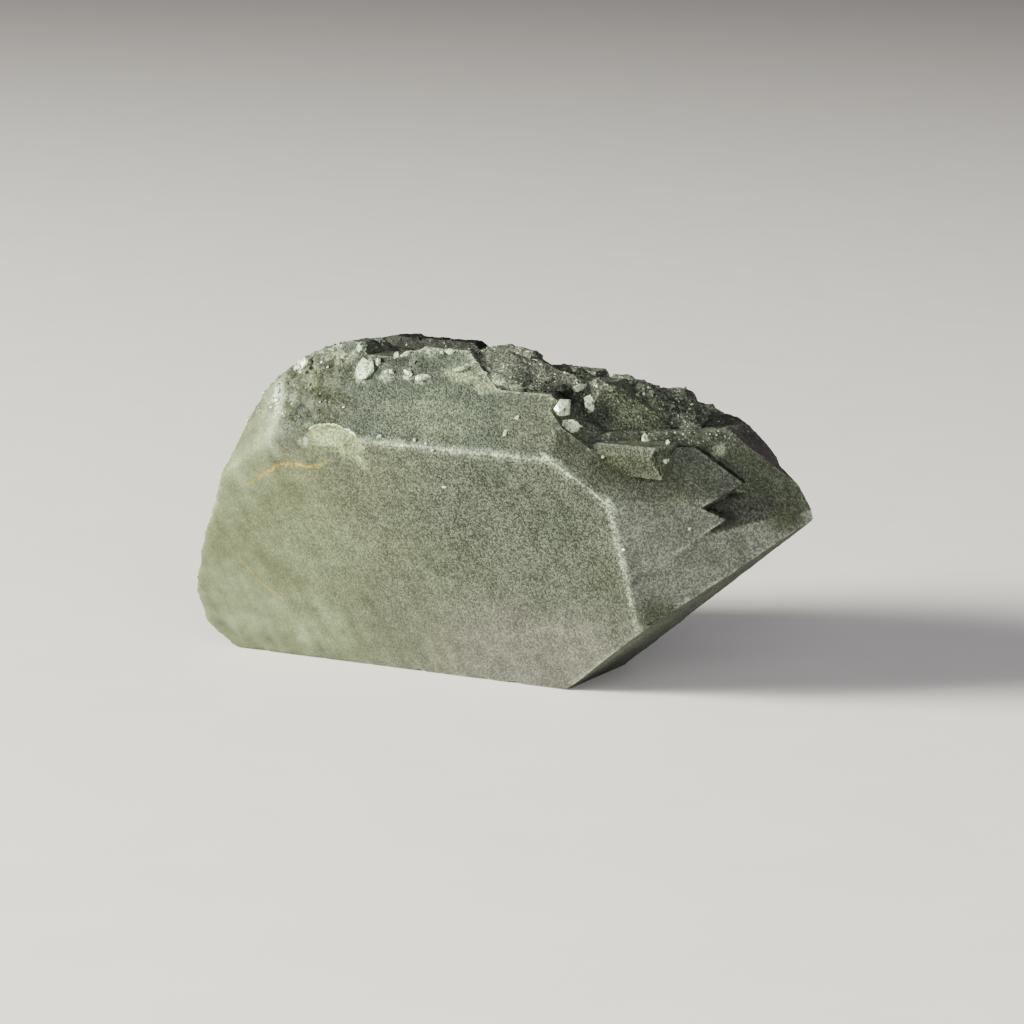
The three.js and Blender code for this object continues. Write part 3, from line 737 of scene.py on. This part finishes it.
def grown_stone(tree, place):
    """The layers of tint on the grown faces, and how strong their sugary grain is."""
    # Soft wandering, in millimetres, that keeps every border from running straight.
    wander = add_node(tree, "TexNoise", {"Vector": place, "Scale": 1 / 14, "Detail": 4.0})
    wander = add_node(tree, "Math", {0: wander, 1: 26.0, 2: -13.0}, operation="MULTIPLY_ADD")
    x, _, z = add_node(tree, "SeparateXYZ", {0: place}).node.outputs
    along = add_node(tree, "Math", {0: x, 1: wander})

    # Sage by the root, over grey. The grain is weak by the root and along the resting edge.
    by_root = add_node(tree, "MapRange", {"Value": along, "From Min": -8.0, "From Max": -36.0})
    layers = [(by_root, "sage")]
    contrast = add_node(
        tree,
        "MapRange",
        {"Value": along, "From Min": -42.0, "From Max": -10.0, "To Min": 0.16, "To Max": 0.65},
    )
    high = add_node(tree, "Math", {0: wander, 1: 0.5, 2: z}, operation="MULTIPLY_ADD")
    high = add_node(tree, "MapRange", {"Value": high, "From Min": 4.0, "From Max": 20.0, "To Min": 0.5})
    contrast = add_node(tree, "Math", {0: contrast, 1: high}, operation="MULTIPLY")

    # Each kind of grown face has its own cast and its own strength of grain.
    normal = add_node(tree, "TexCoord", output="Normal")
    for direction, distance, name, strength, face_contrast in FACE_CASTS:
        direction = tuple(direction)
        facing = add_node(tree, "VectorMath", {0: normal, 1: direction}, "Value", operation="DOT_PRODUCT")
        facing = add_node(tree, "MapRange", {"Value": facing, "From Min": 0.9, "From Max": 0.97})
        out = add_node(tree, "VectorMath", {0: place, 1: direction}, "Value", operation="DOT_PRODUCT")
        near = add_node(
            tree, "MapRange", {"Value": out, "From Min": distance - 0.8, "From Max": distance - 0.5}
        )
        facing = add_node(tree, "Math", {0: facing, 1: near}, operation="MULTIPLY")
        contrast = add_node(tree, "Mix", {0: facing, 2: contrast, 3: face_contrast})
        layers.append((add_node(tree, "Math", {0: facing, 1: strength}, operation="MULTIPLY"), name))
    return layers, contrast


def broken_stone(tree, place, mask, random):
    """The layers of tint on broken stone: a dark crowd of small crystals, dust, painted glints, hollows
    darkened with dust and painted shade, and a paler root.
    """
    crowd = add_node(tree, "Math", {0: mask["crowded"], 1: 0.26}, operation="MULTIPLY")
    dust = add_node(tree, "TexNoise", {"Vector": place, "Scale": 1 / 1.3, "Detail": 6.0, "Roughness": 0.7})
    dust = add_node(tree, "MapRange", {"Value": dust, "From Min": 0.4, "From Max": 0.62, "To Max": 0.5})
    dust = add_node(tree, "Math", {0: dust, 1: mask["crowded"]}, operation="MULTIPLY")
    # Painted glints: a few grains of the crowded top are painted pale.
    glint = add_node(tree, "MapRange", {"Value": random, "From Min": 0.94, "From Max": 0.96, "To Max": 0.8})
    glint = add_node(tree, "Math", {0: glint, 1: mask["crowded"]}, operation="MULTIPLY")
    # Painted shade: hollows darken, and the gully gets a painted shadow that is nearly black by the arrow
    # heads.
    hollow = add_node(tree, "Math", {0: mask["hollow"], 1: 0.7}, operation="MULTIPLY")
    hollow = add_node(tree, "Math", {0: hollow, 1: mask["gully"]}, operation="MAXIMUM")
    root = add_node(tree, "Math", {0: mask["root"], 1: 0.6}, operation="MULTIPLY")
    return [(crowd, "ash"), (dust, "chlorite_and_shade"), (glint, "frost_and_glint"), (hollow, "chlorite_and_shade"), (root, "sage")]


def bruised_edges(tree, place, mask):
    """The pale bruises: patches on broken edges, and thin worn lines where front faces meet."""
    wear = mask["worn"]
    for (a, a_distance), (b, b_distance), strength in WORN_PAIRS:
        near_a = add_node(tree, "VectorMath", {0: place, 1: tuple(a)}, "Value", operation="DOT_PRODUCT")
        near_b = add_node(tree, "VectorMath", {0: place, 1: tuple(b)}, "Value", operation="DOT_PRODUCT")
        apart = add_node(tree, "Math", {0: near_a, 1: near_b}, operation="SUBTRACT")
        apart = add_node(tree, "Math", {0: apart, 1: a_distance - b_distance}, operation="SUBTRACT")
        apart = add_node(tree, "Math", {0: apart}, operation="ABSOLUTE")
        line = add_node(
            tree, "MapRange", {"Value": apart, "From Min": 0.4, "From Max": 0.05, "To Max": strength}
        )
        depth = add_node(tree, "Math", {0: near_a, 1: near_b})
        outer = a_distance + b_distance
        depth = add_node(tree, "MapRange", {"Value": depth, "From Min": outer - 2.2, "From Max": outer - 1.2})
        line = add_node(tree, "Math", {0: line, 1: depth}, operation="MULTIPLY")
        wear = add_node(tree, "Math", {0: wear, 1: line}, operation="MAXIMUM")
    x = add_node(tree, "SeparateXYZ", {0: place})
    past_scar = add_node(tree, "MapRange", {"Value": x, "From Min": -22.0, "From Max": -17.0})
    wear = add_node(tree, "Math", {0: wear, 1: past_scar}, operation="MULTIPLY")

    patchy = add_node(tree, "TexNoise", {"Vector": place, "Scale": 1 / 1.6, "Detail": 5.0, "Roughness": 0.65})
    patchy = add_node(tree, "MapRange", {"Value": patchy, "From Min": 0.36, "From Max": 0.6, "To Min": 0.3})
    layers = []
    for pale, strength in ((mask["bruised"], 0.5), (wear, 0.8)):
        pale = add_node(tree, "Math", {0: pale, 1: patchy}, operation="MULTIPLY")
        pale = add_node(tree, "Math", {0: pale, 1: strength}, operation="MULTIPLY")
        layers.append((pale, "frost_and_glint"))
    return layers


def clouds_and_veils(tree, place):
    """Clouds of chlorite and paler veils, each a soft patch with a wandering border."""
    layers = []
    warp = add_node(tree, "TexNoise", {"Vector": place, "Scale": 1 / 5, "Detail": 5.0}, "Color")
    warp = add_node(tree, "VectorMath", {0: warp, 1: (0.5, 0.5, 0.5)}, operation="SUBTRACT")
    for centre, reach, name, strength in PATCHES:
        offset = add_node(tree, "VectorMath", {0: place, 1: centre}, operation="SUBTRACT")
        scale = tuple(1 / each for each in reach)
        offset = add_node(tree, "VectorMath", {0: offset, 1: scale}, operation="MULTIPLY")
        offset = add_node(tree, "VectorMath", {0: offset, 1: warp})
        distance = add_node(tree, "VectorMath", {0: offset}, "Value", operation="LENGTH")
        amount = add_node(
            tree,
            "MapRange",
            {"Value": distance, "From Min": 1.25, "From Max": 0.35, "To Max": strength},
            interpolation_type="SMOOTHSTEP",
        )
        layers.append((amount, name))
    return layers


def cracks_and_scar(tree, place):
    """The rust-stained healed cracks, and the scar. A curve holds how high each line runs."""
    layers = []
    x, y, z = add_node(tree, "SeparateXYZ", {0: place}).node.outputs
    shake = add_node(tree, "TexNoise", {"Vector": place, "Scale": 0.9, "Detail": 4.0})
    shake = add_node(tree, "Math", {0: shake, 1: 0.9, 2: -0.45}, operation="MULTIPLY_ADD")
    for points, low, high, name, strength, above, below in LINES:
        first, last = points[0][0], points[-1][0]
        run = add_node(tree, "MapRange", {"Value": x, "From Min": first, "From Max": last})
        curve = add_node(tree, "FloatCurve", {"Value": run}).node
        line = curve.mapping.curves[0]
        line.points[0].location = (0, points[0][1] / HIGHEST_LINE)
        line.points[1].location = (1, points[-1][1] / HIGHEST_LINE)
        for point_x, point_z in points[1:-1]:
            line.points.new((point_x - first) / (last - first), point_z / HIGHEST_LINE)
        curve.mapping.update()
        level = add_node(
            tree, "Math", {0: curve.outputs[0], 1: HIGHEST_LINE, 2: shake}, operation="MULTIPLY_ADD"
        )
        away = add_node(tree, "Math", {0: z, 1: level}, operation="SUBTRACT")
        amount = add_node(
            tree, "MapRange", {"Value": y, "From Min": 0.0, "From Max": -2.0, "To Max": strength}
        )
        across = ((away, above, above * 0.2), (away, -below, -below * 0.2))
        for value, none, full in (*across, (x, low, low + 1), (x, high, high - 1)):
            inside = add_node(tree, "MapRange", {"Value": value, "From Min": none, "From Max": full})
            amount = add_node(tree, "Math", {0: amount, 1: inside}, operation="MULTIPLY")
        layers.append((amount, name))
    return layers


def natural_quartz(colours, sizes):
    """Natural quartz clouded with chlorite, as grown: grey-green, satin, with a sugary grain that glints.

    The quartz lets a little light in, so thin edges look soft. Dust and painted shade darken its hollows.
    """
    finish = {
        "IOR": QUARTZ_IOR,
        "Specular IOR Level": 0.12,
        "Subsurface Weight": 0.15,
        "Subsurface Radius": (1.0, 1.0, 0.8),
        "Subsurface Scale": 1.2 * MM,
    }
    material, tree, shader = new_material("natural_chlorite_quartz", finish)
    place = add_node(
        tree,
        "Mapping",
        {
            "Vector": add_node(tree, "TexCoord", output="Object"),
            "Location": tuple(-CORNER / MM),
            "Scale": (1 / MM, 1 / MM, 1 / MM),
        },
    )
    mask = {}
    for name in ("crowded", "bruised", "root", "worn", "hollow", "gully"):
        mask[name] = add_node(tree, "Attribute", output="Fac", attribute_name=name)
    leaning = {}
    for name, (turns, stretch) in LEANS.items():
        inputs = {"Vector": place, "Rotation": tuple(map(math.radians, turns)), "Scale": stretch}
        leaning[name] = add_node(tree, "Mapping", inputs, vector_type="TEXTURE")
    layers, contrast = grown_stone(tree, place)

    # Growth lines across the prism, as faint streaks of shade.
    streaks = add_node(tree, "TexNoise", {"Vector": leaning["lines"], "Scale": 1 / 2.4, "Detail": 3.0})
    mottle = add_node(tree, "TexNoise", {"Vector": place, "Scale": 1 / 2.2, "Detail": 4.0})
    shade = add_node(tree, "Math", {0: streaks, 1: mottle})
    shade = add_node(
        tree, "MapRange", {"Value": shade, "From Min": 0.7, "From Max": 1.3, "To Min": 0.72, "To Max": 1.28}
    )

    # Sugary grains, each a little lighter or darker, with dark gaps between them.
    cells = add_node(tree, "TexVoronoi", {"Vector": leaning["grains"], "Scale": MM / sizes.grain}).node
    random = add_node(tree, "SeparateColor", {0: cells.outputs["Color"]}).node.outputs
    light = add_node(tree, "Math", {0: random[0], 1: 1.6}, operation="POWER")
    light = add_node(tree, "MapRange", {"Value": light, "To Min": -0.8, "To Max": 1.7})
    gaps = add_node(
        tree,
        "MapRange",
        {"Value": cells.outputs["Distance"], "From Min": 0.35, "From Max": 0.7, "To Max": 0.35},
    )
    light = add_node(tree, "Math", {0: light, 1: gaps}, operation="SUBTRACT")
    light = add_node(tree, "Math", {0: light, 1: contrast, 2: 1.0}, operation="MULTIPLY_ADD")
    shade = add_node(tree, "Math", {0: shade, 1: light}, operation="MULTIPLY")

    # Layers of tint over plain grey, each the amount of one colour, then the shade.
    layers += broken_stone(tree, place, mask, random[2]) + bruised_edges(tree, place, mask)
    layers += clouds_and_veils(tree, place) + cracks_and_scar(tree, place)
    tint = (*colours.grey, 1)
    for amount, name in layers:
        colour = (*getattr(colours, name), 1)
        tint = add_node(tree, "Mix", {0: amount, 6: tint, 7: colour}, 2, data_type="RGBA")
    grey = add_node(tree, "CombineColor", {0: shade, 1: shade, 2: shade})
    tint = add_node(tree, "Mix", {0: 1.0, 6: tint, 7: grey}, 2, data_type="RGBA", blend_type="MULTIPLY")
    tree.links.new(tint, shader.inputs["Base Color"])

    # Each grain has its own polish. Relief too fine for the mesh: the grains, and the growth lines.
    polish = add_node(tree, "MapRange", {"Value": random[1], "To Min": 0.42, "To Max": 0.8})
    tree.links.new(polish, shader.inputs["Roughness"])
    combed = add_node(tree, "TexNoise", {"Vector": leaning["combed"], "Scale": 1 / 0.5, "Detail": 4.0})
    combed = add_node(tree, "Math", {0: combed, 1: mask["crowded"]}, operation="MULTIPLY")
    domes = cells.outputs["Distance"]
    domes = add_node(tree, "Math", {0: domes, 1: -0.6, 2: combed}, operation="MULTIPLY_ADD")
    height = add_node(tree, "Math", {0: streaks, 1: 0.8, 2: domes}, operation="MULTIPLY_ADD")
    height = add_node(tree, "Math", {0: height, 1: mottle})
    strength = add_node(tree, "MapRange", {"Value": contrast, "From Max": 0.6, "To Min": 0.2, "To Max": 0.8})
    bump = add_node(tree, "Bump", {"Height": height, "Strength": strength, "Distance": 0.12 * MM})
    tree.links.new(bump, shader.inputs["Normal"])
    return material


def glassy_quartz(colours):
    """Clear quartz chipped from the crystal: pale, glassy, a little cloudy, with light in its thin edges."""
    finish = {
        "Roughness": 0.2,
        "IOR": QUARTZ_IOR,
        "Subsurface Weight": 0.1,
        "Subsurface Radius": (1.0, 1.0, 0.9),
        "Subsurface Scale": 0.6 * MM,
    }
    material, tree, shader = new_material("clear_quartz_chipped", finish)
    coordinates = add_node(tree, "TexCoord", output="Object")
    streaked = add_node(
        tree,
        "Mapping",
        {"Vector": coordinates, "Rotation": (0.5, 0.4, 0), "Scale": (1.0, 1.0, 2.5)},
        vector_type="TEXTURE",
    )
    # Crack lines, painted pale: partly cracks, partly painted glints.
    crack_glints = add_node(
        tree, "TexVoronoi", {"Vector": streaked, "Scale": 1 / (0.55 * MM)}, feature="DISTANCE_TO_EDGE"
    )
    crack_glints = add_node(tree, "MapRange", {"Value": crack_glints, "From Min": 0.16, "From Max": 0.03, "To Max": 0.6})
    cloud = add_node(tree, "TexNoise", {"Vector": streaked, "Scale": 1 / (0.4 * MM), "Detail": 4.0})
    cloud = add_node(tree, "MapRange", {"Value": cloud, "From Min": 0.38, "From Max": 0.62, "To Max": 0.75})
    cloud = add_node(tree, "Math", {0: cloud, 1: crack_glints}, operation="MAXIMUM")
    tint = add_node(
        tree, "Mix", {0: cloud, 6: (*colours.grey, 1), 7: (*colours.frost_and_glint, 1)}, 2, data_type="RGBA"
    )
    tint = add_node(tree, "Mix", {0: crack_glints, 6: tint, 7: (*colours.glint, 1)}, 2, data_type="RGBA")
    tree.links.new(tint, shader.inputs["Base Color"])
    return material


def sparkling_quartz(colours):
    """Small quartz crystals on the rough top: grey-green with bright glints, each a shade of its own."""
    finish = {"Roughness": 0.32, "IOR": QUARTZ_IOR}
    material, tree, shader = new_material("small_quartz_crystals", finish)
    coordinates = add_node(tree, "TexCoord", output="Object")
    cells = add_node(tree, "TexVoronoi", {"Vector": coordinates, "Scale": 1 / (0.6 * MM)}, "Color")
    random = add_node(tree, "SeparateColor", {0: cells}).node.outputs
    tint = add_node(
        tree, "Mix", {0: random[0], 6: (*colours.chlorite_and_shade, 1), 7: (*colours.grey, 1)}, 2, data_type="RGBA"
    )
    # Painted glints: a few of the small crystals are painted pale.
    bright = add_node(tree, "MapRange", {"Value": random[1], "From Min": 0.9, "From Max": 0.97})
    tint = add_node(tree, "Mix", {0: bright, 6: tint, 7: (*colours.frost_and_glint, 1)}, 2, data_type="RGBA")
    tree.links.new(tint, shader.inputs["Base Color"])
    return material


def painted_floor(colour):
    """Matt painted board: pale, plain and without gloss, so it shows only soft shadows."""
    material, tree, shader = new_material("matt_painted_board", {"Roughness": 0.7})
    coordinates = add_node(tree, "TexCoord", output="Object")
    speckle = add_node(tree, "TexNoise", {"Vector": coordinates, "Scale": 60.0, "Detail": 4.0})
    shade = add_node(
        tree, "MapRange", {"Value": speckle, "From Min": 0.3, "From Max": 0.7, "To Min": 0.98, "To Max": 1.02}
    )
    grey = add_node(tree, "CombineColor", {0: shade, 1: shade, 2: shade})
    tint = add_node(
        tree, "Mix", {0: 1.0, 6: (*colour, 1), 7: grey}, 2, data_type="RGBA", blend_type="MULTIPLY"
    )
    tree.links.new(tint, shader.inputs["Base Color"])
    return material


# ---- the studio ----

CAMERA_FROM_CORNER = Vector((214.2, -460.5, 114.1)) * MM
CAMERA_AZIMUTH = math.radians(25.8)
CAMERA_ELEVATION = math.radians(10.13)
CAMERA_ROLL = math.radians(1.38)

# The soft lights: name, place and width in metres, the setting that holds its power, and its colour.
LIGHTS = (
    ("key", (-0.95, -0.95, 0.42), 0.5, "key_power", "FFFBF2"),
    ("fill", (0.6, -0.9, 0.35), 0.8, "fill_power", "F8F8FF"),
    ("back", (0.7, 0.8, 0.8), 0.8, "back_power", "F8F8FF"),
)


def add_camera(lens):
    """A camera on a long lens, to the right of the front and a little above."""
    turn = Euler((math.pi / 2 - CAMERA_ELEVATION, 0, CAMERA_AZIMUTH)).to_matrix()
    roll = Euler((0, 0, CAMERA_ROLL)).to_matrix()
    bpy.ops.object.camera_add(location=CORNER + CAMERA_FROM_CORNER, rotation=(turn @ roll).to_euler())
    camera = bpy.context.active_object
    camera.name = "camera"
    camera.data.lens = lens
    camera.data.sensor_width = 36
    camera.data.clip_start = 0.01
    camera.data.clip_end = 100
    bpy.context.scene.camera = camera


def add_soft_light(name, place, size, power, hex_colour):
    """A large square light that looks at the crystal."""
    aim = Vector((0, 0, 0.02))
    turn = (aim - Vector(place)).to_track_quat("-Z", "Y").to_euler()
    bpy.ops.object.light_add(type="AREA", location=place, rotation=turn)
    light = bpy.context.active_object
    light.name = name
    light.data.size = size
    light.data.energy = power
    light.data.color = linear(hex_colour)


class CRYSTAL_OT_studio(bpy.types.Operator):
    """Adds the plain floor, the soft lights and the camera"""

    bl_idname = "crystal.studio"
    bl_label = "Studio"

    def execute(self, context):
        studio = context.scene.crystal_studio
        bpy.ops.mesh.primitive_plane_add(size=12, location=(0, 0, LOW.z))
        floor = context.active_object
        floor.name = "floor"
        floor.data.materials.append(painted_floor(studio.floor))
        for name, place, size, power, hex_colour in LIGHTS:
            add_soft_light(name, place, size, getattr(studio, power), hex_colour)
        world = bpy.data.worlds.new("studio_dark")
        world.use_nodes = True
        backdrop = world.node_tree.nodes["Background"]
        backdrop.inputs["Color"].default_value = (*linear("8C8890"), 1)
        backdrop.inputs["Strength"].default_value = 0.5
        context.scene.world = world
        add_camera(studio.lens)
        return {"FINISHED"}


# ---- the add-on ----


class CRYSTAL_PT_panel(bpy.types.Panel):
    """The crystal's tools in the sidebar"""

    bl_idname = "CRYSTAL_PT_panel"
    bl_label = "Chlorite Quartz Crystal"
    bl_space_type = "VIEW_3D"
    bl_region_type = "UI"
    bl_category = "Crystal"

    def draw(self, context):
        for operator in OPERATORS:
            self.layout.operator(operator.bl_idname)


OPERATORS = (CRYSTAL_OT_crystal, CRYSTAL_OT_chips, CRYSTAL_OT_grains, CRYSTAL_OT_studio)
PROPERTY_GROUPS = {
    "crystal_colours": CrystalColours,
    "crystal_sizes": CrystalSizes,
    "crystal_studio": StudioSettings,
}


def register():
    """Registers the classes and the scene's settings."""
    for each in (*PROPERTY_GROUPS.values(), *OPERATORS, CRYSTAL_PT_panel):
        bpy.utils.register_class(each)
    for name, each in PROPERTY_GROUPS.items():
        setattr(bpy.types.Scene, name, PointerProperty(type=each))


def unregister():
    """Takes them out again, last first."""
    for name in PROPERTY_GROUPS:
        delattr(bpy.types.Scene, name)
    for each in (CRYSTAL_PT_panel, *reversed(OPERATORS), *reversed(PROPERTY_GROUPS.values())):
        bpy.utils.unregister_class(each)


def main():
    """Makes everything, in order."""
    register()
    bpy.ops.crystal.crystal()
    bpy.ops.crystal.chips()
    bpy.ops.crystal.grains()
    bpy.ops.crystal.studio()


if __name__ == "__main__":
    main()
